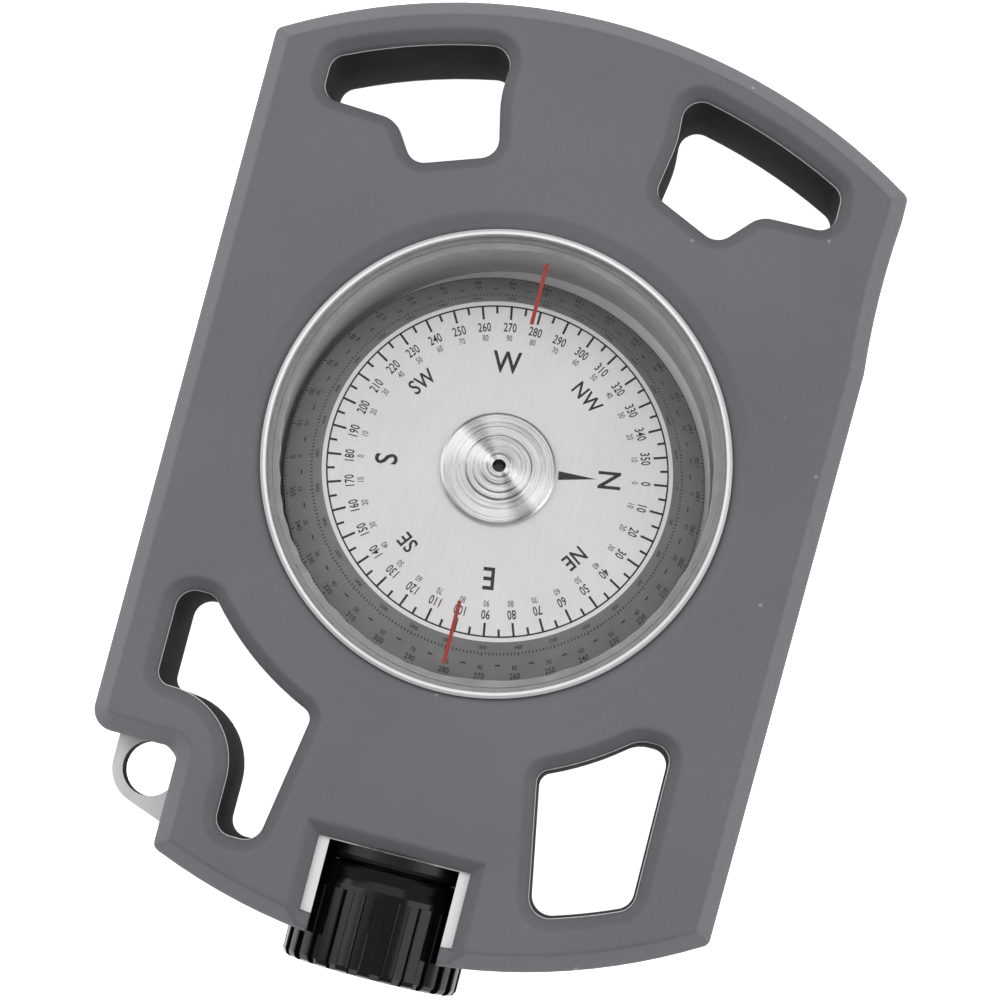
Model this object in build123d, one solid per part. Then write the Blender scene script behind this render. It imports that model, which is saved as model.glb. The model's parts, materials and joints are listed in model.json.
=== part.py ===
from build123d import *
import os
from math import cos, radians, sin, tan

# Hand sighting compass, in millimetres.
# Origin: capsule axis on the back face.  +Z comes out of the dial, +Y points away from
# the user's eye, +X is to the right when the eyepiece is nearest the user.
# Pieces on the sight axis are turned about Z first and then laid along -Y, so their
# "place" values are distances from the capsule axis towards the eye.

# ---------------------------------------------------------------- body
THICKNESS = 20.0              # back face to front face
SKIN = 2.0                    # rubber boot wall
LEFT_X, RIGHT_X = -35.0, 35.75
RIGHT_TAPER = 1.2             # degrees the right side closes in towards the eyepiece
FAR_ARC_R, FAR_ARC_X, FAR_ARC_Y = 66.6, -0.8, -16.9
NEAR_ARC_R, NEAR_ARC_Y = 66.0, 12.45
NOTCH_X, NOTCH_Y = -25.1, -37.85        # cut-away corner that bares the lanyard eye
CORNER_R, NOTCH_TIP_R, NOTCH_ROOT_R = 1.1, 2.4, 1.0
HOLLOW, HOLLOW_LOW_Y, HOLLOW_HIGH_Y = 0.4, 19.0, 36.0   # grip hollow on the right side
EDGE_CHAMFER = 1.8
WINDOW_CHAMFER = 1.3
FRAME_PEEK = 0.08             # frame shows this far inside each opening of the boot
FIT = 0.02                    # gap between pieces that are assembled tight
RUN = 0.05                    # radial gap of a running fit
MID_Z = THICKNESS / 2
FRAME_BACK, FRAME_FRONT = SKIN, THICKNESS - SKIN
CAPSULE_SWEEP_R = 33.1        # near windows follow the capsule at this radius
FAR_RIM, NEAR_RIM = 4.6, 5.5  # land between a window and the far or near end

# ---------------------------------------------------------------- lanyard lug
EYE_X, EYE_Y = -28.4, -40.7
EYE_R, EYE_RIM_R = 3.0, 4.15
TAB_T = 3.2

# ---------------------------------------------------------------- slot and pocket for the knob
SLOT_HALF = 7.1
POCKET_R, POCKET_Y = 10.0, -43.05
BOOT_SLOT_HALF, BOOT_SLOT_Y = 8.3, -42.9
BOOT_SLOT_CHAMFER = 1.4
LIP_Y = -51.1                 # rubber wraps the arm tips from here outward

# ---------------------------------------------------------------- capsule
CUP_R, CUP_BORE_R = 25.2, 24.0
CUP_FLOOR_Z, CUP_FLOOR_T = 2.2, 1.0
CUP_TOP_Z = 19.8
CUP_LIP_CHAMFER = 0.3
SEAT_R, SEAT_Z = 24.6, 17.7   # counterbore that takes the window
SEAL_T, SEAL_R_IN = 0.4, 24.05
WINDOW_T = 1.5
WINDOW_TOP_Z = SEAT_Z + SEAL_T + WINDOW_T + FIT
DISH_R, DISH_DEPTH = 27.0, 1.0          # rubber is dished round the bezel
PORT_R, PORT_T = 3.0, 0.8
VENT_R, VENT_CIRCLE_R, VENTS = 0.5, 8.0, 4
INDEX_R_IN, INDEX_R_OUT = 15.3, 22.1
INDEX_W, INDEX_T = 0.42, 0.12
POST_PIN_R = 1.0
NEEDLE_R, NEEDLE_BASE_Z = 0.35, 9.0
FILLER_X, FILLER_R = 18.0, 1.3

# ---------------------------------------------------------------- back
COVER_R, COVER_T, COVER_RECESS = 28.0, SKIN, 0.8
COVER_SCREWS, COVER_SCREW_CIRCLE_R = 4, 26.2
COVER_SCREW_R, COVER_SCREW_HEAD_R, COVER_SCREW_L = 0.7, 1.3, 5.0
DIAPHRAGM_R, DIAPHRAGM_T, DIAPHRAGM_ROLL_R = 13.0, 0.4, 7.0
CLAMP_R_IN, CLAMP_T = 11.2, 0.3

# ---------------------------------------------------------------- floating card
PIVOT_Z = 12.0
CARD_LEAN = -9.2              # about +X: the eyepiece side rides high
CARD_ROLL = 3.4               # about the card's own +Y: the right side rides low
CARD_HEADING = 9.8            # north on the card, counter-clockwise from +X
DISC_R, DISC_T = 19.15, 0.4
SKIRT_R, SKIRT_DROP, SKIRT_WALL = 23.2, 4.05, 0.45
HUB_R, HUB_BORE_R, HUB_TENON_R = 6.3, 1.5, 2.5
JEWEL_EYE_R = 0.73
JEWEL_R, BUSH_R, BUSH_BORE_R = 0.72, 1.2, 0.95
MAGNET_R = 5.6

# ---------------------------------------------------------------- eyepiece
KNOB_R, KNOB_ROOT_R = 9.65, 9.2
KNOB_RIBS, KNOB_RIB_W = 24, 1.3
KNOB_BACK, RIB_START, KNOB_END = 44.9, 47.8, 56.3
CHAMBER_R, CHAMBER_START, CHAMBER_END = 6.6, 48.6, 54.7
EYE_OPENING_R, EYE_FLARE_R = 5.6, 7.9
BARREL_R, BARREL_BORE_R = 6.2, 4.2
BARREL_START, BARREL_END = 38.0, 47.6
COLLAR_R, COLLAR_START, COLLAR_END = 9.1, 43.07, 44.8   # closes the slot behind the knob
TUNNEL_R = 4.0
O_RING_PLACE, O_RING_ROOT_R, O_RING_GROOVE = 46.9, 5.4, 0.9
KEY_PLACE, KEY_R, KEY_DEPTH_R = 42.3, 0.4, 3.75
FOCUS_TRAVEL = 2.5            # how far the knob carries the lens cell outward
CELL_START, CELL_FLANGE, CELL_SEAT, CELL_END = 38.6, 48.75, 49.7, 53.25
CELL_R, CELL_BORE_R, CELL_LIGHT_R = 6.4, 5.3, 3.3
FIELD_LENS_PLACE = 34.6
GRUB_R, GRUB_PLACE = 1.0, 40.5


# ---------------------------------------------------------------- helpers
def keep(name, shape):
    """Write one finished sub-part under its node name."""
    export_step(shape, os.path.join("parts", name + ".step"))


def slab(sketch, z_low, z_high):
    """Extrude a flat outline between two heights."""
    return extrude(Plane.XY.offset(z_low) * sketch, z_high - z_low)


def disc(radius, z_low, z_high, x=0, y=0):
    return Pos(x, y, (z_low + z_high) / 2) * Cylinder(radius, z_high - z_low)


def ring(outer, inner, z_low, z_high):
    return disc(outer, z_low, z_high) - disc(inner, z_low - 1, z_high + 1)


def turned(profile):
    """Revolve a closed outline of (radius, height) points about Z."""
    return revolve(Plane.XZ * make_face(Polyline(*profile, close=True)), Axis.Z)


def on_sight_axis(shape):
    """Lay a piece that was made about Z along the sight axis."""
    return Pos(0, 0, MID_Z) * Rot(90, 0, 0) * shape


def on_card(shape):
    """Turn a card piece to its heading, tip it both ways and set it on the pivot point."""
    tip = Rot(CARD_LEAN, 0, 0) * Rot(0, CARD_ROLL, 0)
    return Pos(0, 0, PIVOT_Z) * tip * Rot(0, 0, CARD_HEADING) * shape


def around(count, radius, first_angle):
    """Evenly spaced points on a circle."""
    angles = [radians(first_angle + 360 / count * i) for i in range(count)]
    return [(radius * cos(a), radius * sin(a)) for a in angles]


def round_corners(outline, corner_radii):
    """Fillet the outline's corner nearest each (x, y) with its radius."""
    for (x, y), radius in corner_radii:
        corner = outline.vertices().sort_by_distance(Vector(x, y, 0))[0]
        outline = fillet(corner, radius)
    return outline


# ---------------------------------------------------------------- outlines
def sharp_body_outline():
    """Two arched ends, nearly straight sides, one cut-away corner and the grip hollow."""
    far = Pos(FAR_ARC_X, FAR_ARC_Y) * Circle(FAR_ARC_R)
    near = Pos(0, NEAR_ARC_Y) * Circle(NEAR_ARC_R)
    reach = 2 * NEAR_ARC_R
    closed_in = reach * tan(radians(RIGHT_TAPER))
    sides = make_face(Polyline((LEFT_X, reach), (LEFT_X, HOLLOW_LOW_Y - reach),
                               (RIGHT_X - closed_in, HOLLOW_LOW_Y - reach),
                               (RIGHT_X, HOLLOW_LOW_Y), (RIGHT_X, reach), close=True))
    notch = Pos(NOTCH_X, NOTCH_Y) * Rectangle(40, 40, align=(Align.MAX, Align.MAX))
    middle_y = (HOLLOW_LOW_Y + HOLLOW_HIGH_Y) / 2
    low, high = (RIGHT_X, HOLLOW_LOW_Y), (RIGHT_X, HOLLOW_HIGH_Y)
    hollow = make_face([ThreePointArc(low, (RIGHT_X - HOLLOW, middle_y), high), Line(high, low)])
    return (far & near & sides) - notch - hollow


def body_corners(outline):
    """The true corners of the body, without the notch and the ends of the grip hollow."""
    corners = []
    for vertex in outline.vertices():
        on_hollow = min(abs(vertex.Y - HOLLOW_LOW_Y), abs(vertex.Y - HOLLOW_HIGH_Y)) < 0.1
        on_notch = abs(vertex.Y - NOTCH_Y) < 0.1
        if not on_hollow and not on_notch:
            corners.append((vertex.X, vertex.Y))
    return corners


def far_window(points, corners):
    """Opening at the far end; its outer edge runs parallel to the arched end."""
    arch = Pos(FAR_ARC_X, FAR_ARC_Y) * Circle(FAR_ARC_R - FAR_RIM)
    return round_corners(make_face(Polyline(*points, close=True)) & arch, corners)


def far_left_window():
    points = [(-28.4, 34.0), (-28.4, 60.0), (-8.0, 60.0), (-9.5, 38.8), (-8.0, 32.3),
              (-17.0, 29.2), (-19.8, 33.5)]
    corners = [((-28.4, 38.6), 2.0), ((-9.1, 44.9), 2.2), ((-9.5, 38.8), 12.0),
               ((-8.0, 32.3), 2.2), ((-17.0, 29.2), 2.0), ((-19.8, 33.5), 3.0),
               ((-28.4, 34.0), 1.9)]
    return far_window(points, corners)


def far_right_window():
    points = [(28.9, 32.9), (28.9, 60.0), (8.8, 60.0), (10.2, 38.6), (9.2, 32.3),
              (17.1, 28.7), (20.9, 32.8)]
    corners = [((28.9, 37.5), 2.0), ((9.8, 44.1), 2.2), ((10.2, 38.6), 12.0),
               ((9.2, 32.3), 1.8), ((17.1, 28.7), 2.2), ((20.9, 32.8), 3.0),
               ((28.9, 32.9), 1.9)]
    return far_window(points, corners)


def near_left_window():
    """Opening on the eye side; its outer edge sweeps round the lanyard corner."""
    points = [(-29.45, -21.0), (-10.6, -21.0), (-14.5, -45.5), (-19.45, -45.5),
              (-19.45, -31.7), (-29.45, -31.7)]
    outline = make_face(Polyline(*points, close=True)) - Circle(CAPSULE_SWEEP_R)
    corners = [((-29.45, -21.0), 2.2), ((-25.6, -21.0), 1.8), ((-12.2, -30.8), 1.4),
               ((-14.5, -45.5), 2.1), ((-19.45, -45.5), 2.0), ((-19.45, -31.7), 8.0),
               ((-29.45, -31.7), 1.6)]
    return round_corners(outline, corners)


def near_right_window():
    points = [(11.25, -24.75), (25.8, -24.75), (25.8, -50.0), (15.95, -50.0)]
    arch = Pos(0, NEAR_ARC_Y) * Circle(NEAR_ARC_R - NEAR_RIM)
    outline = (make_face(Polyline(*points, close=True)) & arch) - Circle(CAPSULE_SWEEP_R)
    corners = [((22.0, -24.75), 3.5), ((25.8, -24.75), 1.9), ((25.8, -42.3), 2.2),
               ((15.2, -46.1), 2.3), ((12.4, -30.7), 1.5)]
    return round_corners(outline, corners)


def lug_outline():
    """Lanyard lug: a round eye faired back into the frame."""
    eye = Pos(EYE_X, EYE_Y) * Circle(EYE_RIM_R)
    root = Polyline((EYE_X - EYE_RIM_R, -34), (-22, -34), (-22, -47.4), (-25.7, -46.0))
    return make_hull(eye.edges() + root.edges())


def slot_outline(half_width, y_top):
    return Pos(0, y_top) * Rectangle(2 * half_width, 40, align=(Align.CENTER, Align.MAX))


SHARP_BODY = sharp_body_outline()
BODY_CORNERS = body_corners(SHARP_BODY)
NOTCHED_BODY = round_corners(SHARP_BODY, [((LEFT_X, NOTCH_Y), NOTCH_TIP_R),
                                          ((NOTCH_X, NOTCH_Y), NOTCH_ROOT_R)])
CORE = offset(round_corners(NOTCHED_BODY, [(spot, CORNER_R) for spot in BODY_CORNERS]), -SKIN)
WINDOWS = [far_left_window(), far_right_window(), near_left_window(), near_right_window()]


# ---------------------------------------------------------------- boot and frame
def knob_pocket(radius):
    return on_sight_axis(disc(radius, -POCKET_Y, -POCKET_Y + 30))


def make_boot_half(opening):
    """Front half of the rubber boot: a skin over the frame and walls down to mid-thickness."""
    shell = chamfer_rim(slab(NOTCHED_BODY, MID_Z + FIT / 2, THICKNESS), EDGE_CHAMFER)
    for x, y in BODY_CORNERS:
        upright = shell.edges().filter_by(Axis.Z).sort_by_distance(Vector(x, y, MID_Z))[0]
        shell = fillet(upright, CORNER_R)
    for window in WINDOWS:
        flare = Plane.XY.offset(THICKNESS - WINDOW_CHAMFER) * window
        shell -= slab(window, 0, THICKNESS)
        shell -= extrude(flare, WINDOW_CHAMFER + 0.5, taper=-45)
    shell -= slab(offset(CORE, FIT), 0, FRAME_FRONT + FIT)
    shell -= opening
    shell -= slab(offset(lug_outline(), FIT), 0, MID_Z + TAB_T / 2 + FIT)
    return shell - boot_slot()


def chamfer_rim(shape, size):
    return chamfer(shape.faces().sort_by(Axis.Z)[-1].edges(), size)


def boot_slot():
    """Space over the knob: a chamfered slot in the face, narrower between the arm tips."""
    over_arms = slab(slot_outline(BOOT_SLOT_HALF, BOOT_SLOT_Y), FRAME_FRONT - 1, THICKNESS + 1)
    over_arms &= Pos(0, LIP_Y, 0) * Box(60, 60, 60, align=(Align.CENTER, Align.MIN, Align.MIN))
    grow = BOOT_SLOT_CHAMFER + 1
    low = Plane.XY.offset(THICKNESS - BOOT_SLOT_CHAMFER) * slot_outline(BOOT_SLOT_HALF, BOOT_SLOT_Y)
    high = Plane.XY.offset(THICKNESS + 1) * slot_outline(BOOT_SLOT_HALF + grow, BOOT_SLOT_Y + grow)
    mouth = loft([low, high])
    between_arms = slab(slot_outline(SLOT_HALF, BOOT_SLOT_Y), 0, THICKNESS + 1)
    return over_arms + mouth + between_arms + knob_pocket(POCKET_R + FRAME_PEEK)


def bezel_opening():
    """Dished hole in the front of the boot round the capsule."""
    hole = CUP_R + FIT
    spread = (DISH_R - hole) / DISH_DEPTH
    return turned([(0, 0), (hole, 0), (hole, THICKNESS - DISH_DEPTH),
                   (DISH_R + spread, THICKNESS + 1), (0, THICKNESS + 1)])


def cover_opening():
    return disc(COVER_R + FIT, 0, THICKNESS + 1)


def make_frame():
    """One aluminium plate: capsule bore, sight tunnel, knob pocket, four windows and the lug."""
    body = slab(CORE, FRAME_BACK, FRAME_FRONT)
    for window in WINDOWS:
        body -= slab(offset(window, -FRAME_PEEK), 0, THICKNESS)
    body += slab(lug_outline(), MID_Z - TAB_T / 2, MID_Z + TAB_T / 2) - \
        slab(offset(CORE, -1), 0, THICKNESS)
    body -= disc(EYE_R, 0, THICKNESS, EYE_X, EYE_Y)
    body -= disc(CUP_R + FIT, 0, THICKNESS)
    body -= slab(slot_outline(SLOT_HALF, POCKET_Y), 0, THICKNESS)
    body -= knob_pocket(POCKET_R)
    body -= on_sight_axis(disc(BARREL_R + FIT, BARREL_START, -POCKET_Y + 1))
    body -= on_sight_axis(disc(TUNNEL_R, CUP_BORE_R - 1, BARREL_START + 1))
    for x, y in around(COVER_SCREWS, COVER_SCREW_CIRCLE_R, 45):
        body -= disc(COVER_SCREW_R + FIT, 0, COVER_SCREW_L, x, y)
    return body - disc(GRUB_R + FIT, 0, MID_Z - BARREL_R + 1, 0, -GRUB_PLACE)


# ---------------------------------------------------------------- back
def make_cover_screw():
    """Small countersunk screw, head flush with the cover, cross recess."""
    cone = COVER_SCREW_HEAD_R - COVER_SCREW_R + 0.15
    end = COVER_SCREW_L - 0.3
    screw = turned([(0, 0), (COVER_SCREW_HEAD_R, 0), (COVER_SCREW_HEAD_R, 0.15),
                    (COVER_SCREW_R, cone), (COVER_SCREW_R, end), (0, end)])
    for turn in (0, 90):
        screw -= Rot(0, 0, turn) * Box(1.7, 0.35, 1.2)
    return screw


def make_cover_screws():
    screw = make_cover_screw()
    places = around(COVER_SCREWS, COVER_SCREW_CIRCLE_R, 45)
    return Compound([Pos(x, y, 0) * screw for x, y in places])


def make_rear_cover():
    """Flat round lid on the back, hollowed inside for the expansion diaphragm."""
    cover = disc(COVER_R, 0, COVER_T - FIT)
    cover = chamfer(cover.faces().sort_by(Axis.Z)[0].edges(), 0.3)
    cover -= disc(CUP_BORE_R, COVER_T - COVER_RECESS, COVER_T + 1)
    head, shank = COVER_SCREW_HEAD_R + FIT, COVER_SCREW_R + FIT
    cone = head - shank + 0.15
    sink = turned([(0, -1), (head, -1), (head, 0.15), (shank, cone), (shank, 3), (0, 3)])
    for x, y in around(COVER_SCREWS, COVER_SCREW_CIRCLE_R, 45):
        cover -= Pos(x, y, 0) * sink
    return cover


def make_diaphragm():
    """Rubber membrane under the cup floor, rolled once so that the fluid can expand."""
    top = CUP_FLOOR_Z - FIT
    flat = disc(DIAPHRAGM_R, top - DIAPHRAGM_T, top)
    bead = Pos(0, 0, top - DIAPHRAGM_T) * Torus(DIAPHRAGM_ROLL_R, 0.35)
    groove = Pos(0, 0, top) * Torus(DIAPHRAGM_ROLL_R, 0.25)
    return flat + bead - groove - disc(DIAPHRAGM_R, top, top + 1)


def make_diaphragm_clamp():
    top = CUP_FLOOR_Z - DIAPHRAGM_T - 2 * FIT
    return ring(DIAPHRAGM_R, CLAMP_R_IN, top - CLAMP_T, top)


def make_filler_screw():
    """Slotted plug that closes the filling hole in the cup floor."""
    shank = disc(FILLER_R, CUP_FLOOR_Z - 0.3, CUP_FLOOR_Z + CUP_FLOOR_T, FILLER_X, 0)
    head = disc(FILLER_R + 0.7, CUP_FLOOR_Z - 0.6, CUP_FLOOR_Z - FIT, FILLER_X, 0)
    return shank + head - Pos(FILLER_X, 0, CUP_FLOOR_Z - 0.6) * Box(5, 0.4, 0.5)


# ---------------------------------------------------------------- capsule
def make_capsule_cup():
    """Turned aluminium cup: floor, bright bore, seat for the window and a thin lip."""
    floor_top = CUP_FLOOR_Z + CUP_FLOOR_T
    cup = turned([(0, CUP_FLOOR_Z), (CUP_R, CUP_FLOOR_Z), (CUP_R, CUP_TOP_Z - CUP_LIP_CHAMFER),
                  (CUP_R - CUP_LIP_CHAMFER, CUP_TOP_Z), (SEAT_R, CUP_TOP_Z), (SEAT_R, SEAT_Z),
                  (CUP_BORE_R, SEAT_Z), (CUP_BORE_R, floor_top + 0.6),
                  (CUP_BORE_R - 0.6, floor_top), (0, floor_top)])
    cup -= disc(POST_PIN_R + FIT, 0, floor_top + 1)
    cup -= disc(FILLER_R + FIT, 0, floor_top + 1, FILLER_X, 0)
    for x, y in around(VENTS, VENT_CIRCLE_R, 45):
        cup -= disc(VENT_R, 0, floor_top + 1, x, y)
    return cup - on_sight_axis(disc(PORT_R + FIT, CUP_BORE_R - 2, CUP_R + 2))


def make_window_seal():
    return ring(SEAT_R - RUN, SEAL_R_IN, SEAT_Z + FIT, SEAT_Z + SEAL_T)


def index_line(side, grow=0.0):
    """Colour-filled radial line in the window, on the +Y or -Y side."""
    length = INDEX_R_OUT - INDEX_R_IN
    middle = side * (INDEX_R_IN + INDEX_R_OUT) / 2
    outline = Pos(0, middle) * Rectangle(INDEX_W + 2 * grow, length + 2 * grow)
    return slab(outline, WINDOW_TOP_Z - INDEX_T - grow, WINDOW_TOP_Z + grow)


def make_capsule_window():
    """Clear disc, flush with the lip, with the two index grooves in its outer face."""
    window = disc(SEAT_R - RUN, WINDOW_TOP_Z - WINDOW_T, WINDOW_TOP_Z)
    window = chamfer_rim(window, 0.15)
    return window - index_line(1, FIT) - index_line(-1, FIT)


def make_port_glass():
    """Small flat glass in the cup wall on the sight axis."""
    outer = CUP_R - 0.1
    return on_sight_axis(disc(PORT_R, outer - PORT_T, outer))


def make_sight_hairline():
    """Fine upright wire across the outside of the port glass."""
    wire = 0.1
    return Pos(0, -CUP_R - FIT, MID_Z) * Box(wire, wire, 2 * PORT_R - 0.6)


def make_pivot_post():
    """Brass post, pinned through the cup floor and bored for the needle."""
    floor_top = CUP_FLOOR_Z + CUP_FLOOR_T
    tip = NEEDLE_BASE_Z + 1.4
    post = turned([(0, CUP_FLOOR_Z), (POST_PIN_R, CUP_FLOOR_Z), (POST_PIN_R, floor_top + FIT),
                   (2.6, floor_top + FIT), (2.6, floor_top + 1.0), (1.4, floor_top + 1.8),
                   (1.4, 8.0), (0.8, 8.8), (0.8, tip), (0, tip)])
    return post - disc(NEEDLE_R + FIT, NEEDLE_BASE_Z - FIT, PIVOT_Z)


def make_pivot_needle():
    """Hardened steel point that the card balances on."""
    tip = PIVOT_Z - FIT
    return turned([(0, NEEDLE_BASE_Z), (NEEDLE_R, NEEDLE_BASE_Z), (NEEDLE_R, PIVOT_Z - 0.9),
                   (0.04, tip), (0, tip)])


# ---------------------------------------------------------------- floating card
def make_card_disc():
    return on_card(ring(DISC_R, HUB_TENON_R + FIT, -DISC_T / 2, DISC_T / 2))


def make_card_skirt():
    """Conical scale ring at 45 degrees, with a shelf that carries the dial disc."""
    top = DISC_T / 2
    shelf = -DISC_T / 2 - FIT
    edge = top - SKIRT_DROP
    inner = DISC_R - 1.6
    return on_card(turned([(DISC_R + FIT, top), (SKIRT_R, edge), (SKIRT_R, edge - SKIRT_WALL),
                           (SKIRT_R - SKIRT_WALL, edge - SKIRT_WALL),
                           (DISC_R - 0.4, shelf - SKIRT_WALL), (inner, shelf - SKIRT_WALL),
                           (inner, shelf), (DISC_R + FIT, shelf)]))


def make_card_hub():
    """Turned hub: a broad flange that steps up to a raised eye over the jewel."""
    low = -2.2
    base = DISC_T / 2 + FIT
    return on_card(turned([(HUB_BORE_R, low), (HUB_TENON_R, low), (HUB_TENON_R, base),
                           (HUB_R - 0.2, base), (HUB_R, base + 0.2), (HUB_R, base + 0.45),
                           (HUB_R - 0.25, base + 0.6), (3.7, base + 0.8), (3.5, base + 1.15),
                           (2.95, base + 1.2), (2.85, base + 1.45), (2.1, base + 1.5),
                           (2.0, base + 1.8), (1.4, base + 1.9), (1.2, base + 1.75),
                           (JEWEL_EYE_R, base + 1.75), (JEWEL_EYE_R, base + 1.25),
                           (HUB_BORE_R, base + 1.25)]))


def make_card_magnet():
    return on_card(ring(MAGNET_R, HUB_TENON_R + FIT, -1.9, -0.5))


def make_jewel_bush():
    """Brass setting that holds the jewel inside the hub."""
    return on_card(ring(BUSH_R, BUSH_BORE_R, -0.3, 1.3))


def make_jewel_cup():
    """Sapphire cup, dimpled underneath for the needle."""
    return on_card(turned([(0, FIT), (0.55, -0.5), (JEWEL_R, -0.5), (JEWEL_R, 0.7),
                           (0.5, 0.95), (0, 0.95)]))


# ---------------------------------------------------------------- eyepiece
def make_barrel():
    """Fixed tube pressed into the frame up to its collar; the knob screws along its end."""
    tube = turned([(BARREL_BORE_R, BARREL_START), (BARREL_R, BARREL_START),
                   (BARREL_R, COLLAR_START), (COLLAR_R, COLLAR_START),
                   (COLLAR_R, COLLAR_END - 0.7), (COLLAR_R - 0.2, COLLAR_END - 0.3),
                   (COLLAR_R - 0.6, COLLAR_END), (BARREL_R, COLLAR_END),
                   (BARREL_R, BARREL_END - 0.1), (BARREL_R - 0.1, BARREL_END),
                   (BARREL_BORE_R, BARREL_END)])
    half_groove = O_RING_GROOVE / 2
    tube -= ring(BARREL_R + 1, O_RING_ROOT_R, O_RING_PLACE - half_groove, O_RING_PLACE + half_groove)
    key_hole = Pos(BARREL_R, 0, KEY_PLACE) * Rot(0, 90, 0) * Cylinder(KEY_R + FIT, 2 * BARREL_R - 2)
    return on_sight_axis(tube - key_hole)


def make_o_ring():
    """Rubber ring in the barrel groove that gives the knob its drag."""
    minor = (BARREL_R - O_RING_ROOT_R) / 2 - FIT
    major = (BARREL_R + O_RING_ROOT_R) / 2
    return on_sight_axis(Pos(0, 0, O_RING_PLACE) * Torus(major, minor))


def make_key_pin():
    """Pin in the barrel wall that keeps the lens cell from turning."""
    middle = (BARREL_R + KEY_DEPTH_R) / 2
    pin = Rot(0, 90, 0) * Cylinder(KEY_R, BARREL_R - KEY_DEPTH_R)
    return on_sight_axis(Pos(middle, 0, KEY_PLACE) * pin)


def make_grub_screw():
    """Locks the barrel in the frame, driven from the back."""
    screw = disc(GRUB_R, FRAME_BACK + 0.1, MID_Z - BARREL_R - FIT, 0, -GRUB_PLACE)
    return screw - Pos(0, -GRUB_PLACE, FRAME_BACK) * Box(4, 0.4, 1.0)


def lens(radius, place, edge, crown):
    """Double-convex lens with a cylindrical edge that starts at place."""
    surface_r = (radius ** 2 + crown ** 2) / (2 * crown)
    near = Pos(0, 0, place + edge + crown - surface_r) * Sphere(surface_r)
    far = Pos(0, 0, place - crown + surface_r) * Sphere(surface_r)
    blank = disc(radius, place - crown, place + edge + crown)
    return on_sight_axis(blank & near & far)


def make_field_lens():
    return lens(TUNNEL_R - FIT, FIELD_LENS_PLACE, 0.8, 0.5)


def make_field_lens_ring():
    start = FIELD_LENS_PLACE + 1.35
    return on_sight_axis(ring(TUNNEL_R - FIT, CELL_LIGHT_R, start, start + 1))


def make_lens_cell():
    """Keyed sleeve that carries the eye lens in and out without turning it."""
    nose = BARREL_BORE_R - RUN
    cell = turned([(CELL_LIGHT_R, CELL_START), (nose, CELL_START), (nose, CELL_FLANGE),
                   (CELL_R, CELL_FLANGE), (CELL_R, CELL_END), (CELL_BORE_R, CELL_END),
                   (CELL_BORE_R, CELL_SEAT), (CELL_LIGHT_R, CELL_SEAT)])
    length = FOCUS_TRAVEL + 2 * KEY_R + 0.2
    keyway = Pos(nose, 0, KEY_PLACE - FOCUS_TRAVEL / 2) * Box(1.1, 2 * KEY_R + 0.1, length)
    return on_sight_axis(cell - keyway)


def make_eye_lens():
    return lens(CELL_BORE_R - FIT, CELL_SEAT + 0.75, 0.9, 0.7)


def make_cell_ring():
    """Ring that retains the eye lens in its cell."""
    return on_sight_axis(ring(CELL_BORE_R - FIT, 4.7, CELL_SEAT + 1.9, CELL_END - 0.2))


def make_knob():
    """Focusing knob: smooth rounded shoulder, then straight ribs to the eye end."""
    bore = BARREL_R + RUN
    body = turned([(bore, KNOB_BACK), (8.4, KNOB_BACK), (8.75, KNOB_BACK + 0.15),
                   (8.95, KNOB_BACK + 0.5), (8.9, KNOB_BACK + 0.95), (8.85, KNOB_BACK + 1.4),
                   (9.0, KNOB_BACK + 1.75), (KNOB_ROOT_R, KNOB_BACK + 2.3),
                   (KNOB_ROOT_R, KNOB_END - 0.6), (KNOB_ROOT_R - 0.6, KNOB_END),
                   (EYE_FLARE_R, KNOB_END), (EYE_OPENING_R, CHAMBER_END + 0.1),
                   (EYE_OPENING_R, CHAMBER_END), (CHAMBER_R, CHAMBER_END),
                   (CHAMBER_R, CHAMBER_START), (bore, CHAMBER_START)])
    depth = KNOB_R - KNOB_ROOT_R + 0.6
    middle = (RIB_START + KNOB_END) / 2
    rib = Pos(KNOB_R - depth / 2, 0, middle) * Box(depth, KNOB_RIB_W, KNOB_END - RIB_START)
    rib = chamfer(rib.edges().filter_by(Axis.Z).group_by(Axis.X)[-1], 0.12)
    rib &= turned([(0, RIB_START), (KNOB_R, RIB_START), (KNOB_R, KNOB_END - 0.7),
                   (KNOB_R - 0.25, KNOB_END - 0.2), (KNOB_R - 0.7, KNOB_END), (0, KNOB_END)])
    ribs = [Rot(0, 0, 90 + 360 / KNOB_RIBS * i) * rib for i in range(KNOB_RIBS)]
    return on_sight_axis(body.fuse(*ribs))


def make_eye_ring():
    """Threaded ring that closes the knob behind the lens cell."""
    return on_sight_axis(ring(CHAMBER_R - FIT, 4.9, CHAMBER_END - 1.3, CHAMBER_END - FIT))


# ---------------------------------------------------------------- write the nodes
os.makedirs("parts", exist_ok=True)
keep("boot_front", make_boot_half(bezel_opening()))
keep("boot_rear", mirror(make_boot_half(cover_opening()), Plane.XY.offset(MID_Z)))
keep("frame", make_frame())
keep("rear_cover", make_rear_cover())
keep("rear_cover_screws", make_cover_screws())
keep("capsule_cup", make_capsule_cup())
keep("capsule_window", make_capsule_window())
keep("window_seal", make_window_seal())
keep("index_line_far", index_line(1))
keep("index_line_near", index_line(-1))
keep("port_glass", make_port_glass())
keep("sight_hairline", make_sight_hairline())
keep("diaphragm", make_diaphragm())
keep("diaphragm_clamp", make_diaphragm_clamp())
keep("filler_screw", make_filler_screw())
keep("pivot_post", make_pivot_post())
keep("pivot_needle", make_pivot_needle())
keep("jewel_cup", make_jewel_cup())
keep("jewel_bush", make_jewel_bush())
keep("card_disc", make_card_disc())
keep("card_skirt", make_card_skirt())
keep("card_hub", make_card_hub())
keep("card_magnet", make_card_magnet())
keep("field_lens", make_field_lens())
keep("field_lens_ring", make_field_lens_ring())
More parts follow.
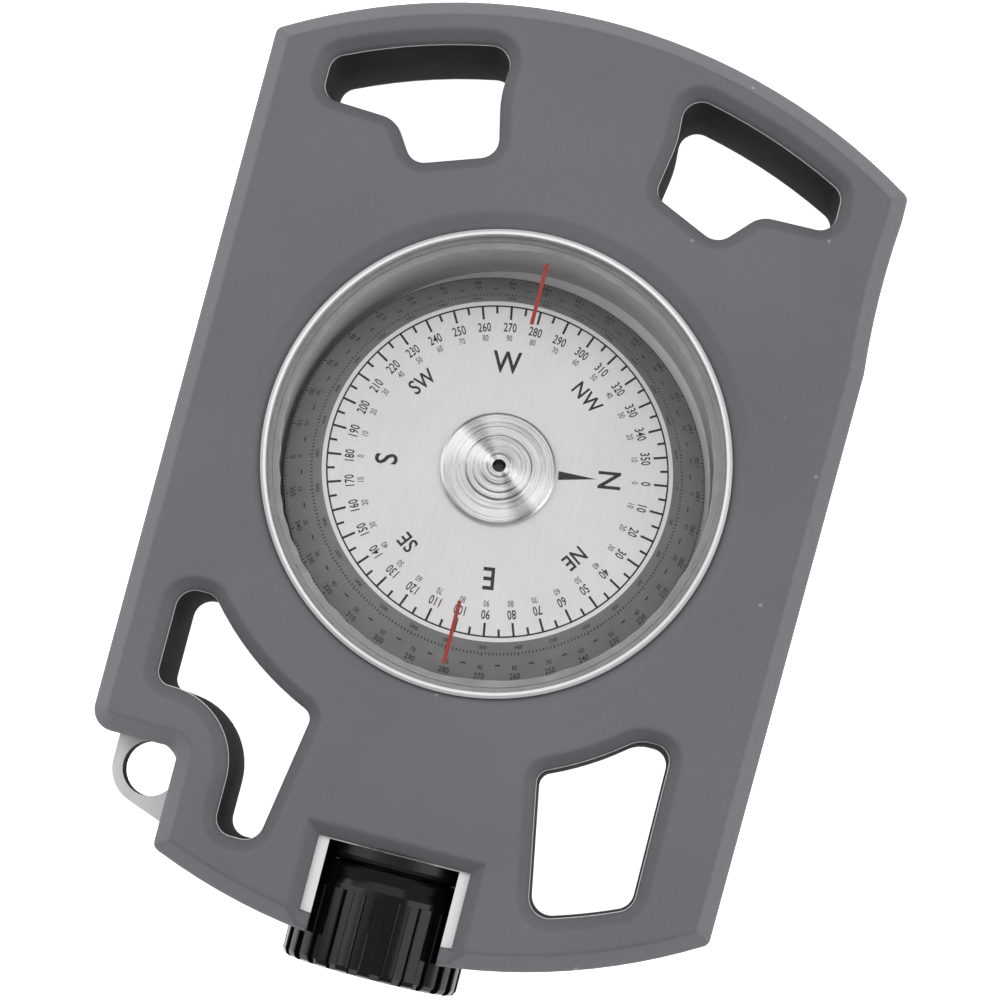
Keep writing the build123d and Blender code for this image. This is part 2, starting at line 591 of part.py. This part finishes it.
keep("eyepiece_barrel", make_barrel())
keep("barrel_grub_screw", make_grub_screw())
keep("cell_key_pin", make_key_pin())
keep("focus_o_ring", make_o_ring())
keep("lens_cell", make_lens_cell())
keep("eye_lens", make_eye_lens())
keep("cell_ring", make_cell_ring())
keep("focus_knob", make_knob())
keep("eye_ring", make_eye_ring())
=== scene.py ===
import json
import random
from math import cos, hypot, pi, radians, sin, tau

import bmesh
import bpy
from mathutils import Matrix, Vector


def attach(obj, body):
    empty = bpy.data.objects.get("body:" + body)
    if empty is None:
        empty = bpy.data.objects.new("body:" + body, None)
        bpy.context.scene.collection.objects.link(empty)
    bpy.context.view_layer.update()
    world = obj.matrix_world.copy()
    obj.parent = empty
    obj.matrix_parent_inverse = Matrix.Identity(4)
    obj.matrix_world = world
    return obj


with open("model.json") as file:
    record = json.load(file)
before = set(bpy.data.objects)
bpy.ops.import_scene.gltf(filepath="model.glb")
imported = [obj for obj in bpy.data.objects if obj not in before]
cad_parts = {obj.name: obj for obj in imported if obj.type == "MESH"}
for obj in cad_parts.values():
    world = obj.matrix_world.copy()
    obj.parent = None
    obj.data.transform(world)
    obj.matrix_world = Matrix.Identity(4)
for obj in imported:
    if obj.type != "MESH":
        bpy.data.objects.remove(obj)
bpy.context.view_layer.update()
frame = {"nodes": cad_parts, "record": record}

MM = 0.001                              # sizes below are in millimetres unless they say metres
RNG = random.Random(20)

# ------------------------------------------------------------------ frame facts
HOUSING, CARD = "housing", "card"
PIVOT = Vector((0, 0, 12.0)) * MM
CARD_TURN = (Matrix.Rotation(radians(-9.2), 4, "X") @ Matrix.Rotation(radians(3.4), 4, "Y")
             @ Matrix.Rotation(radians(9.8), 4, "Z"))
CARD_PLACE = Matrix.Translation(PIVOT) @ CARD_TURN
DISC_TOP = 0.2                          # above the pivot, in the card's own frame, mm
SKIRT_TOP_R, SKIRT_R, SKIRT_DROP = 19.17, 23.2, 4.05
SKIRT_SLOPE = radians(45.14)
SKIRT_LENGTH = hypot(SKIRT_R - SKIRT_TOP_R, SKIRT_DROP)


# ------------------------------------------------------------------ camera
CAMERA_SPOT = Vector((20.4, -37.3, 374.3)) * MM
CAMERA_TARGET = Vector((1.46, -3.85, 19.8)) * MM
CAMERA_ROLL = radians(14.52)
SENSOR_WIDTH, FOCAL_LENGTH = 36.0, 120.68
NEAREST, FARTHEST = 0.01, 10.0          # metres


def add_camera():
    """Looks down at the dial from the eyepiece side, a little to the right."""
    back = (CAMERA_SPOT - CAMERA_TARGET).normalized()
    right = Vector((0, 1, 0)).cross(back).normalized()
    up = back.cross(right)
    turned_right = right * cos(CAMERA_ROLL) + up * sin(CAMERA_ROLL)
    turned_up = up * cos(CAMERA_ROLL) - right * sin(CAMERA_ROLL)
    data = bpy.data.cameras.new("camera")
    camera = bpy.data.objects.new("camera", data)
    bpy.context.scene.collection.objects.link(camera)
    axes = Matrix((turned_right, turned_up, back)).transposed()
    camera.matrix_world = Matrix.Translation(CAMERA_SPOT) @ axes.to_4x4()
    data.sensor_width = SENSOR_WIDTH
    data.lens = FOCAL_LENGTH
    data.clip_start, data.clip_end = NEAREST, FARTHEST
    bpy.context.scene.camera = camera


# ------------------------------------------------------------------ colours
def linear(level):
    """One display value, 0 to 255, as scene-linear by the sRGB curve."""
    c = level / 255
    return c / 12.92 if c <= 0.04045 else ((c + 0.055) / 1.055) ** 2.4


def tone(r, g=None, b=None):
    """A colour from display values, grey where only one is given."""
    g = r if g is None else g
    b = r if b is None else b
    return (linear(r), linear(g), linear(b), 1.0)


class Graph:
    """A material's node tree with short calls for the nodes used here."""

    def __init__(self, name):
        self.material = bpy.data.materials.new(name)
        self.material.use_nodes = True
        self.tree = self.material.node_tree
        self.shader = self.tree.nodes["Principled BSDF"]

    def add(self, kind, **settings):
        node = self.tree.nodes.new(kind)
        for key, value in settings.items():
            setattr(node, key, value)
        return node

    def link(self, source, target):
        self.tree.links.new(source, target)

    def feed(self, socket, value):
        """Set a socket to a constant, or link it to another node's output."""
        if isinstance(value, (int, float, tuple)):
            socket.default_value = value
        else:
            self.link(value, socket)

    def set(self, **values):
        """Constants on the shader; an underscore stands for the space in a socket's name."""
        for key, value in values.items():
            self.shader.inputs[key.replace("_", " ")].default_value = value

    def place(self, scale=(1, 1, 1), turn=(0, 0, 0)):
        """Object coordinates, stretched and turned."""
        coords = self.add("ShaderNodeTexCoord")
        mapping = self.add("ShaderNodeMapping")
        mapping.inputs["Scale"].default_value = scale
        mapping.inputs["Rotation"].default_value = turn
        self.link(coords.outputs["Object"], mapping.inputs["Vector"])
        return mapping.outputs["Vector"]

    def axial(self, origin, turn):
        """Distance from an axis, height along it and angle round it.

        turn brings the axis upright.
        """
        coords = self.add("ShaderNodeTexCoord")
        shift = self.add("ShaderNodeVectorMath", operation="SUBTRACT")
        shift.inputs[1].default_value = origin
        self.link(coords.outputs["Object"], shift.inputs[0])
        mapping = self.add("ShaderNodeMapping", vector_type="VECTOR")
        mapping.inputs["Rotation"].default_value = turn
        self.link(shift.outputs["Vector"], mapping.inputs["Vector"])
        split = self.add("ShaderNodeSeparateXYZ")
        self.link(mapping.outputs["Vector"], split.inputs["Vector"])
        square = self.maths("ADD", self.maths("MULTIPLY", split.outputs["X"], split.outputs["X"]),
                            self.maths("MULTIPLY", split.outputs["Y"], split.outputs["Y"]))
        angle = self.maths("ARCTAN2", split.outputs["Y"], split.outputs["X"])
        return self.maths("SQRT", square), split.outputs["Z"], angle

    def join(self, x, y, z=0.0):
        """Three values as one vector."""
        node = self.add("ShaderNodeCombineXYZ")
        for socket, value in zip(node.inputs, (x, y, z)):
            self.feed(socket, value)
        return node.outputs["Vector"]

    def noise(self, scale, detail=4.0, rough=0.55, vector=None):
        node = self.add("ShaderNodeTexNoise")
        node.inputs["Scale"].default_value = scale
        node.inputs["Detail"].default_value = detail
        node.inputs["Roughness"].default_value = rough
        self.link(vector or self.place(), node.inputs["Vector"])
        return node.outputs["Fac"]

    def ramp(self, factor, stops):
        """Colour by factor, straight between (position, colour) stops."""
        node = self.add("ShaderNodeValToRGB")
        elements = node.color_ramp.elements
        while len(elements) < len(stops):
            elements.new(0.5)
        for element, (position, colour) in zip(elements, stops):
            element.position = position
            element.color = colour
        self.link(factor, node.inputs["Fac"])
        return node.outputs["Color"]

    def mix(self, factor, a, b):
        """Colour a at factor 0 and colour b at factor 1."""
        node = self.add("ShaderNodeMix", data_type="RGBA")
        colour_a, colour_b, colour_out = node.inputs[6], node.inputs[7], node.outputs[2]
        self.feed(node.inputs["Factor"], factor)
        self.feed(colour_a, a)
        self.feed(colour_b, b)
        return colour_out

    def spread(self, factor, low, high, low_out, high_out):
        """Map the span low to high onto low_out to high_out."""
        node = self.add("ShaderNodeMapRange")
        for name, value in (("From Min", low), ("From Max", high), ("To Min", low_out),
                            ("To Max", high_out)):
            node.inputs[name].default_value = value
        self.link(factor, node.inputs["Value"])
        return node.outputs["Result"]

    def maths(self, operation, a, b=None):
        node = self.add("ShaderNodeMath", operation=operation)
        self.feed(node.inputs[0], a)
        if b is not None:
            self.feed(node.inputs[1], b)
        return node.outputs["Value"]

    def blend(self, a, share, b):
        """A weighted sum of two values: share of a and the rest of b."""
        return self.maths("ADD", self.maths("MULTIPLY", a, share),
                          self.maths("MULTIPLY", b, round(1 - share, 3)))

    def scaled(self, *pairs):
        """A vector from (value, scale) pairs."""
        return self.join(*(self.maths("MULTIPLY", value, scale) for value, scale in pairs))

    def height(self):
        """Height above the back face, in metres."""
        split = self.add("ShaderNodeSeparateXYZ")
        self.link(self.place(), split.inputs["Vector"])
        return split.outputs["Z"]

    def upness(self):
        """1 on faces that look up or down the Z axis, 0 on upright walls."""
        geometry = self.add("ShaderNodeNewGeometry")
        split = self.add("ShaderNodeSeparateXYZ")
        self.link(geometry.outputs["True Normal"], split.inputs["Vector"])
        return self.maths("ABSOLUTE", split.outputs["Z"])

    def specks(self, scale, size, share):
        """Sparse round specks: 1 inside one, 0 outside."""
        cells = self.add("ShaderNodeTexVoronoi")
        cells.inputs["Scale"].default_value = scale
        self.link(self.place(), cells.inputs["Vector"])
        inside = self.maths("LESS_THAN", cells.outputs["Distance"], size)
        split = self.add("ShaderNodeSeparateColor")
        self.link(cells.outputs["Color"], split.inputs["Color"])
        return self.maths("MULTIPLY", inside, self.maths("LESS_THAN", split.outputs["Red"], share))

    def colour(self, socket):
        self.link(socket, self.shader.inputs["Base Color"])

    def roughness(self, socket):
        self.link(socket, self.shader.inputs["Roughness"])

    def bump(self, height, distance, strength, under=None):
        """Raise the surface by up to distance metres, on top of the normal under it."""
        node = self.add("ShaderNodeBump")
        node.inputs["Distance"].default_value = distance
        node.inputs["Strength"].default_value = strength
        self.link(height, node.inputs["Height"])
        if under is not None:
            self.link(under, node.inputs["Normal"])
        self.link(node.outputs["Normal"], self.shader.inputs["Normal"])


# ------------------------------------------------------------------ materials
SOFT_EDGE_R = 0.8 * MM
ACRYLIC_IOR = 1.49
LUG_TOP, FRONT_START = 0.013, 0.014     # metres: the lug face below them gets a painted shade, the front face above does not


def rubber_grey():
    """Matt moulded rubber with soft edges, a little dust and faint scuffs."""
    g = Graph("boot_rubber")
    grain = g.noise(2600, 3, 0.6)
    cloud = g.noise(45, 4, 0.55)
    mixed = g.blend(grain, 0.4, cloud)
    base = g.ramp(mixed, [(0.35, tone(104, 103, 108)), (0.65, tone(114, 113, 118))])
    dust = g.specks(420, 0.09, 0.06)
    scuffs = g.noise(1.0, 2, 0.5, g.place((900, 90, 300), (0.0, 0.0, 0.5)))
    faint = g.spread(scuffs, 0.72, 0.8, 0.0, 0.35)
    worn = g.mix(faint, base, tone(134, 134, 137))
    g.colour(g.mix(g.maths("MULTIPLY", dust, 0.6), worn, tone(168, 168, 168)))
    g.roughness(g.spread(cloud, 0.3, 0.7, 0.5, 0.62))
    g.set(IOR=1.45)
    soft = g.add("ShaderNodeBevel", samples=6)
    soft.inputs["Radius"].default_value = SOFT_EDGE_R
    g.bump(grain, 0.00003, 0.4, soft.outputs["Normal"])
    return g.material


def frame_metal():
    """Flat faces are bright; upright walls carry a painted shade, standing for the openings' own
    shade, and the lug face a lighter painted shade from the boot above it.
    """
    g = Graph("frame_aluminium")
    grain = g.noise(700, 4, 0.6, g.place((1, 0.12, 1), (0, 0, 0.3)))
    bright = g.ramp(grain, [(0.3, tone(244)), (0.7, tone(252))])
    # Painted shade: upright walls get this low grey instead of the bright aluminium.
    painted_wall_shade = g.ramp(g.noise(160), [(0.3, tone(40)), (0.7, tone(54))])
    # Painted shade: the lower lug face is coloured greyer, as if shaded by the boot.
    lug_painted_shade = g.ramp(grain, [(0.3, tone(218)), (0.7, tone(238))])
    # flat is 1 on flat faces and 0 on upright walls, where the painted shade goes.
    flat = g.spread(g.upness(), 0.6, 0.8, 0.0, 1.0)
    # front is 0 on the lug face, which takes the painted shade, and 1 on the front face above.
    front = g.spread(g.height(), LUG_TOP, FRONT_START, 0.0, 1.0)
    g.colour(g.mix(flat, painted_wall_shade, g.mix(front, lug_painted_shade, bright)))
    g.roughness(g.spread(flat, 0.0, 1.0, 0.9, 0.5))
    g.set(Metallic=0.15, IOR=1.25)
    g.bump(grain, 0.00001, 0.3)
    return g.material


def cup_metal():
    """Turned round the capsule axis: fine rings, and a satin bore."""
    g = Graph("turned_aluminium")
    radius, height, angle = g.axial((0, 0, 0), (0, 0, 0))
    rings = g.noise(1.0, 3, 0.6, g.scaled((radius, 3000), (height, 2200)))
    bands = g.noise(1.0, 2, 0.5, g.scaled((angle, 1.2), (height, 160)))
    g.colour(g.mix(0.5, g.ramp(rings, [(0.3, tone(238)), (0.7, tone(250))]),
                   g.ramp(bands, [(0.35, tone(232)), (0.65, tone(252))])))
    g.roughness(g.spread(rings, 0.3, 0.7, 0.28, 0.4))
    g.set(Metallic=0.35)
    g.bump(rings, 0.000008, 0.35)
    return g.material


def hub_metal():
    """Turned round the card axis: coarse tool rings, and painted highlight and painted shade
    sectors twice a turn.
    """
    g = Graph("hub_aluminium")
    upright = CARD_TURN.to_3x3().inverted().to_euler()
    radius, _, angle = g.axial(tuple(PIVOT), tuple(upright))
    rings = g.noise(1.0, 4, 0.75, g.scaled((radius, 4200), (angle, 0.35)))
    # Painted highlight and painted shade: bright and dim sectors fixed to the angle round the card
    # axis, turning with the card.
    half_turns = g.maths("FRACT", g.maths("ADD", g.maths("DIVIDE", angle, pi), 1.0))
    painted_sheen = g.ramp(half_turns, [(0.0, tone(205)), (0.3, tone(190)), (0.58, tone(205)),
                                (0.66, tone(120)), (0.72, tone(140)), (0.78, tone(252)),
                                (0.87, tone(252)), (1.0, tone(205))])
    g.colour(g.mix(0.35, painted_sheen, g.ramp(rings, [(0.38, tone(50)), (0.55, tone(254))])))
    g.roughness(g.spread(rings, 0.3, 0.7, 0.2, 0.36))
    tangent = g.add("ShaderNodeTangent", direction_type="RADIAL", axis="Z")
    g.link(tangent.outputs["Tangent"], g.shader.inputs["Tangent"])
    g.set(Metallic=1.0, Anisotropic=0.75)
    g.bump(rings, 0.00004, 0.6)
    return g.material


def dial_face():
    """Fine straight brushing."""
    g = Graph("dial_silver")
    brush = g.noise(1.0, 5, 0.7, g.place((9000, 320, 600), (0, 0, 0.35)))
    cloud = g.noise(60, 3, 0.5)
    mixed = g.blend(brush, 0.6, cloud)
    g.colour(g.ramp(mixed, [(0.35, tone(220, 219, 220)), (0.65, tone(236, 235, 235))]))
    g.roughness(g.spread(brush, 0.3, 0.7, 0.38, 0.5))
    g.set(Metallic=0.35)
    g.bump(brush, 0.000006, 0.35)
    return g.material


def solid(name, low, high, rough, metal=0.0, scale=800, **settings):
    """One finish with a fine grain between two colours."""
    g = Graph(name)
    grain = g.noise(scale, 3, 0.6)
    g.colour(g.ramp(grain, [(0.3, low), (0.7, high)]))
    g.roughness(g.spread(grain, 0.3, 0.7, rough * 0.85, rough * 1.15))
    g.set(Metallic=metal, **settings)
    g.bump(grain, 0.00001, 0.3)
    return g.material


def clear(name, gloss_share):
    """Clear pane: light passes straight through, with a faint smeared gloss."""
    g = Graph(name)
    smear = g.noise(90, 4, 0.6)
    see_through = g.add("ShaderNodeBsdfTransparent")
    see_through.inputs["Color"].default_value = (0.99, 0.988, 0.99, 1)
    gloss = g.add("ShaderNodeBsdfGlossy")
    g.link(g.spread(smear, 0.4, 0.8, 0.01, 0.05), gloss.inputs["Roughness"])
    edge = g.add("ShaderNodeFresnel")
    edge.inputs["IOR"].default_value = ACRYLIC_IOR
    blend = g.add("ShaderNodeMixShader")
    g.link(g.maths("MULTIPLY", edge.outputs["Fac"], gloss_share), blend.inputs["Fac"])
    g.link(see_through.outputs["BSDF"], blend.inputs[1])
    g.link(gloss.outputs["BSDF"], blend.inputs[2])
    g.tree.nodes.remove(g.shader)
    g.link(blend.outputs["Shader"], g.tree.nodes["Material Output"].inputs["Surface"])
    return g.material


MATERIALS = {
    "boot_rubber": rubber_grey(),
    "frame_aluminium": frame_metal(),
    "turned_aluminium": cup_metal(),
    "cover_aluminium": solid("cover_aluminium", tone(150), tone(165), 0.4, 1.0),
    "dial_silver": dial_face(),
    "skirt_grey": solid("skirt_grey", tone(140), tone(150), 0.6, 0.0, 300),
    "clear_acrylic": clear("clear_acrylic", 0.2),
    "lens_glass": clear("lens_glass", 1.0),
    "index_red": solid("index_red", tone(150, 44, 36), tone(164, 54, 44), 0.5),
    "black_plastic": solid("black_plastic", tone(7), tone(11), 0.14, 0.0, 1800, IOR=1.38),
    "black_anodised": solid("black_anodised", tone(9), tone(14), 0.3, IOR=1.4),
    "black_rubber": solid("black_rubber", tone(24), tone(32), 0.6),
    "seal_rubber": solid("seal_rubber", tone(150), tone(166), 0.5),
    "brass": solid("brass", tone(190, 150, 80), tone(205, 165, 95), 0.3, 1.0),
    "steel": solid("steel", tone(180), tone(200), 0.3, 1.0),
    "magnet_nickel": solid("magnet_nickel", tone(180, 178, 170), tone(200, 198, 190), 0.25, 1.0),
    "sapphire": solid("sapphire", tone(8), tone(14), 0.4),
}
HUB_METAL = hub_metal()


def dress_nodes():
    """Give each CAD node the material of its slot; the hub has a material of its own, with painted
    highlight sectors.
    """
    for part in frame["record"]["subparts"]:
        node = frame["nodes"][part["node"]]
        node.data.materials.clear()
        node.data.materials.append(MATERIALS[part["material_slot"]])
    frame["nodes"]["card_hub"].data.materials[0] = HUB_METAL


dress_nodes()

INK = solid("ink_black", tone(22), tone(30), 0.55)
PALE_INK = solid("ink_grey", tone(96), tone(108), 0.55)
SKIRT_INK = solid("ink_skirt", tone(52), tone(60), 0.6)


# ------------------------------------------------------------------ print
GLYPHS = {}
BOLDER, LETTER_GAP = 0.014, 1.04        # of the font's own size
INK_LIFT = 0.012                        # print stands this far off its surface
DIAL_LINE_R, DIAL_LINE_W = 18.6, 0.18
DIAL_TICK_W, DIAL_TICK, DIAL_HALF_TICK = 0.25, 1.5, 0.85
NUMBER_R, NUMBER_H = 16.2, 1.05
QUADRANT_R, QUADRANT_H = 14.98, 0.72
NUMBER_NARROW, LETTER_NARROW, SKIRT_NARROW = 0.66, 0.84, 0.72
CARDINAL_R, CARDINAL_H = 12.2, 2.5
BETWEEN_R, BETWEEN_H = 12.85, 1.72
POINTER_R, POINTER_W, POINTER_L = 8.7, 1.0, 4.2
EDGE_MARGIN, EDGE_TICK_W = 0.06, 0.14
EDGE_TICK, EDGE_TICK_5, EDGE_TICK_10 = 0.28, 0.4, 0.55
BEARING_DOWN, BEARING_H = 4.45, 0.78    # distances down the skirt from its upper edge
SKIRT_QUADRANT_DOWN, SKIRT_QUADRANT_H = 3.35, 0.62
DASH_DOWN, DASH_W, DASH_H = 3.0, 0.55, 0.2
MIL_TICKS, MIL_TICK_DOWN, MIL_TICK_W = 320, 1.35, 0.12
MIL_TICK, MIL_TICK_10 = 0.34, 0.5
MILS_PER_TURN, MIL_NUMBER_STEP = 6400, 200
MIL_NUMBER_DOWN, MIL_NUMBER_H = 0.72, 0.5


def glyph(text):
    """A word as flat faces, centred and scaled to a height of one."""
    if text in GLYPHS:
        return GLYPHS[text]
    curve = bpy.data.curves.new("glyph", "FONT")
    curve.body = text
    curve.resolution_u = 3
    curve.offset = BOLDER
    curve.space_character = LETTER_GAP
    holder = bpy.data.objects.new("glyph", curve)
    bpy.context.scene.collection.objects.link(holder)
    bpy.context.view_layer.update()
    mesh = holder.evaluated_get(bpy.context.evaluated_depsgraph_get()).to_mesh()
    points = [v.co.copy() for v in mesh.vertices]
    faces = [tuple(p.vertices) for p in mesh.polygons]
    xs, ys = [p.x for p in points], [p.y for p in points]
    tall = max(ys) - min(ys)
    middle = Vector(((min(xs) + max(xs)) / 2, (min(ys) + max(ys)) / 2, 0))
    flat = [((p - middle) / tall).to_2d() for p in points]
    GLYPHS[text] = (flat, faces)
    holder.to_mesh_clear()
    bpy.data.objects.remove(holder)
    bpy.data.curves.remove(curve)
    return GLYPHS[text]


def on_dial(radius, clockwise):
    """A place on the dial for print whose top points outward."""
    spin = Matrix.Rotation(radians(-clockwise), 4, "Z")
    out = Matrix.Translation((radius, 0, DISC_TOP + INK_LIFT))
    return spin @ out @ Matrix.Rotation(-pi / 2, 4, "Z")


def on_skirt(down, clockwise, top_inward=False):
    """A place on the sloping skirt, a distance down from its upper edge."""
    spin = Matrix.Rotation(radians(-clockwise), 4, "Z")
    along = Matrix.Translation((SKIRT_TOP_R + down * cos(SKIRT_SLOPE), 0,
                                DISC_TOP - down * sin(SKIRT_SLOPE)))
    tilt = Matrix.Rotation(SKIRT_SLOPE, 4, "Y") @ Matrix.Translation((0, 0, INK_LIFT))
    turn = pi / 2 if top_inward else -pi / 2
    return spin @ along @ tilt @ Matrix.Rotation(turn, 4, "Z")


class Print:
    """Ink on the card: collects flat marks and words, then becomes one piece."""

    def __init__(self):
        self.points, self.faces = [], []

    def add(self, flat, faces, place, width, height):
        start = len(self.points)
        for x, y in flat:
            spot = place @ Vector((x * width, y * height, 0))
            self.points.append(CARD_PLACE @ (spot * MM))
        self.faces += [tuple(start + i for i in face) for face in faces]

    def bar(self, place, width, height):
        corners = [(-0.5, -0.5), (0.5, -0.5), (0.5, 0.5), (-0.5, 0.5)]
        self.add(corners, [(0, 1, 2, 3)], place, width, height)

    def word(self, text, place, height, narrow):
        flat, faces = glyph(text)
        self.add(flat, faces, place, height * narrow, height)

    def circle(self, inner, outer, count=240):
        for i in range(count):
            a, b = tau * i / count, tau * (i + 1) / count
            start = len(self.points)
            for radius, angle in ((inner, a), (outer, a), (outer, b), (inner, b)):
                spot = Vector((radius * cos(angle), radius * sin(angle), DISC_TOP + INK_LIFT))
                self.points.append(CARD_PLACE @ (spot * MM))
            self.faces.append((start, start + 1, start + 2, start + 3))

    def piece(self, name, material):
        mesh = bpy.data.meshes.new(name)
        mesh.from_pydata([tuple(p) for p in self.points], [], self.faces)
        mesh.materials.append(material)
        made = bpy.data.objects.new(name, mesh)
        bpy.context.scene.collection.objects.link(made)
        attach(made, CARD)


def quadrant(bearing):
    """Bearing within its quadrant, 0 at north and south and 90 at east and west."""
    within = bearing % 180
    return within if within <= 90 else 180 - within


def print_dial():
    """Ring of ticks, numbers every 10 degrees, quadrant numbers, eight points and a pointer."""
    ticks, numbers, pale, letters = Print(), Print(), Print(), Print()
    ticks.circle(DIAL_LINE_R - DIAL_LINE_W / 2, DIAL_LINE_R + DIAL_LINE_W / 2)
    for value in range(0, 360, 5):
        length = DIAL_TICK if value % 10 == 0 else DIAL_HALF_TICK
        ticks.bar(on_dial(DIAL_LINE_R - length / 2, value), DIAL_TICK_W, length)
    for value in range(0, 360, 10):
        numbers.word(str(value), on_dial(NUMBER_R, value), NUMBER_H, NUMBER_NARROW)
        pale.word(str(quadrant(value)), on_dial(QUADRANT_R, value), QUADRANT_H, NUMBER_NARROW)
    for text, value in (("N", 0), ("E", 90), ("S", 180), ("W", 270)):
        letters.word(text, on_dial(CARDINAL_R, value), CARDINAL_H, LETTER_NARROW)
    for text, value in (("NE", 45), ("SE", 135), ("SW", 225), ("NW", 315)):
        letters.word(text, on_dial(BETWEEN_R, value), BETWEEN_H, LETTER_NARROW)
    pointer = [(-0.5, -0.5), (0.5, -0.5), (0, 0.5)]
    letters.add(pointer, [(0, 1, 2)], on_dial(POINTER_R, 0), POINTER_W, POINTER_L)
    ticks.piece("dial_ticks", INK)
    numbers.piece("dial_numbers", INK)
    pale.piece("dial_quadrant_numbers", PALE_INK)
    letters.piece("dial_letters", INK)


def edge_tick_length(value):
    if value % 10 == 0:
        return EDGE_TICK_10
    return EDGE_TICK_5 if value % 5 == 0 else EDGE_TICK


def print_skirt():
    """Scales on the slope: mils nearest the dial, then quadrants, bearings and edge ticks."""
    marks, words = Print(), Print()
    for value in range(360):
        length = edge_tick_length(value)
        marks.bar(on_skirt(SKIRT_LENGTH - EDGE_MARGIN - length / 2, value), EDGE_TICK_W, length)
    for value in range(0, 360, 10):
        opposite = (value + 180) % 360
        words.word(str(opposite), on_skirt(BEARING_DOWN, value, top_inward=True),
                   BEARING_H, SKIRT_NARROW)
        words.word(str(quadrant(opposite)), on_skirt(SKIRT_QUADRANT_DOWN, value, top_inward=True),
                   SKIRT_QUADRANT_H, SKIRT_NARROW)
        marks.bar(on_skirt(DASH_DOWN, value + 5), DASH_W, DASH_H)
    for step in range(MIL_TICKS):
        length = MIL_TICK_10 if step % 10 == 0 else MIL_TICK
        place = on_skirt(MIL_TICK_DOWN + length / 2, step * 360 / MIL_TICKS)
        marks.bar(place, MIL_TICK_W, length)
    for mils in range(0, MILS_PER_TURN, MIL_NUMBER_STEP):
        place = on_skirt(MIL_NUMBER_DOWN, mils * 360 / MILS_PER_TURN, top_inward=True)
        words.word(str(mils), place, MIL_NUMBER_H, SKIRT_NARROW)
    marks.piece("skirt_marks", SKIRT_INK)
    words.piece("skirt_numbers", SKIRT_INK)


print_dial()
print_skirt()


# ------------------------------------------------------------------ sealant under the window
FILM_TOP, FILM_OUTER_R, FILM_INNER_R = 18.09, 23.97, 23.25
FILM_EDGE_W, FILM_EDGE_DROP, FILM_T = 0.12, 0.06, 0.16
FILM_POINTS, FILM_WAVES, FILM_WAVE_H = 720, 14, 0.035
MOST_WAVES_PER_TURN = 60


def film_edge():
    """Radius of the film's uneven inner edge at each step round the turn."""
    waves = [(RNG.uniform(2, MOST_WAVES_PER_TURN), RNG.uniform(0, tau), RNG.uniform(0.3, 1))
             for _ in range(FILM_WAVES)]
    edge = []
    for i in range(FILM_POINTS):
        angle = tau * i / FILM_POINTS
        wobble = sum(share * sin(round(turns) * angle + start) for turns, start, share in waves)
        edge.append(FILM_INNER_R + FILM_WAVE_H * wobble)
    return edge


def sealant_film():
    """Film of sealant that squeezed out under the window."""
    mesh = bmesh.new()
    rows = []
    for i, inner in enumerate(film_edge()):
        angle = tau * i / FILM_POINTS
        spots = ((FILM_OUTER_R, FILM_TOP), (inner + FILM_EDGE_W, FILM_TOP),
                 (inner, FILM_TOP - FILM_EDGE_DROP), (FILM_OUTER_R, FILM_TOP - FILM_T))
        rows.append([mesh.verts.new(Vector((r * cos(angle), r * sin(angle), z)) * MM)
                     for r, z in spots])
    for i in range(FILM_POINTS):
        a, b = rows[i], rows[(i + 1) % FILM_POINTS]
        for k in range(4):
            mesh.faces.new((a[k], b[k], b[(k + 1) % 4], a[(k + 1) % 4]))
    bmesh.ops.recalc_face_normals(mesh, faces=mesh.faces)
    data = bpy.data.meshes.new("sealant_film")
    mesh.to_mesh(data)
    mesh.free()
    made = bpy.data.objects.new("sealant_film", data)
    bpy.context.scene.collection.objects.link(made)
    data.materials.append(solid("sealant", tone(146), tone(168), 0.35, 0.0, 400))
    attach(made, HOUSING)


sealant_film()


# ------------------------------------------------------------------ stage and light
FLOOR_HALF, FLOOR_DROP = 1.5, 0.0003    # metres
WORLD_STRENGTH = 0.42
SOFT_BOXES = {                          # spot and size in metres, power in watts
    "left_box": ((-0.6, 0.15, 0.45), (0.5, 0.7), 1.8),
    "right_box": ((0.6, 0.1, 0.45), (0.5, 0.7), 1.9),
    "top_box": ((-0.12, 0.36, 0.8), (1.1, 0.8), 2.0),
}


def add_floor():
    """Pale floor that gives off light, so that it reads white through the openings."""
    mesh = bpy.data.meshes.new("floor")
    corners = [(x * FLOOR_HALF, y * FLOOR_HALF, 0) for x, y in ((-1, -1), (1, -1), (1, 1), (-1, 1))]
    mesh.from_pydata(corners, [], [(0, 1, 2, 3)])
    floor = bpy.data.objects.new("floor", mesh)
    bpy.context.scene.collection.objects.link(floor)
    floor.location.z = -FLOOR_DROP
    g = Graph("floor")
    g.colour(g.ramp(g.noise(30), [(0.3, tone(243)), (0.7, tone(246))]))
    g.set(Roughness=0.9, Emission_Color=(1, 1, 1, 1), Emission_Strength=1.0)
    mesh.materials.append(g.material)


def add_soft_box(name, spot, size, power):
    """Rectangular light that faces the origin."""
    data = bpy.data.lights.new(name, "AREA")
    data.shape = "RECTANGLE"
    data.size, data.size_y = size
    data.energy = power
    light = bpy.data.objects.new(name, data)
    bpy.context.scene.collection.objects.link(light)
    light.location = spot
    light.rotation_euler = (-Vector(spot)).to_track_quat("-Z", "Y").to_euler()


def add_world():
    world = bpy.data.worlds.new("world")
    bpy.context.scene.world = world
    world.use_nodes = True
    background = world.node_tree.nodes["Background"]
    background.inputs["Color"].default_value = (1, 1, 1, 1)
    background.inputs["Strength"].default_value = WORLD_STRENGTH


add_camera()
add_floor()
add_world()
for box_name, (box_spot, box_size, box_power) in SOFT_BOXES.items():
    add_soft_box(box_name, box_spot, box_size, box_power)
bpy.context.scene.view_settings.view_transform = "Standard"
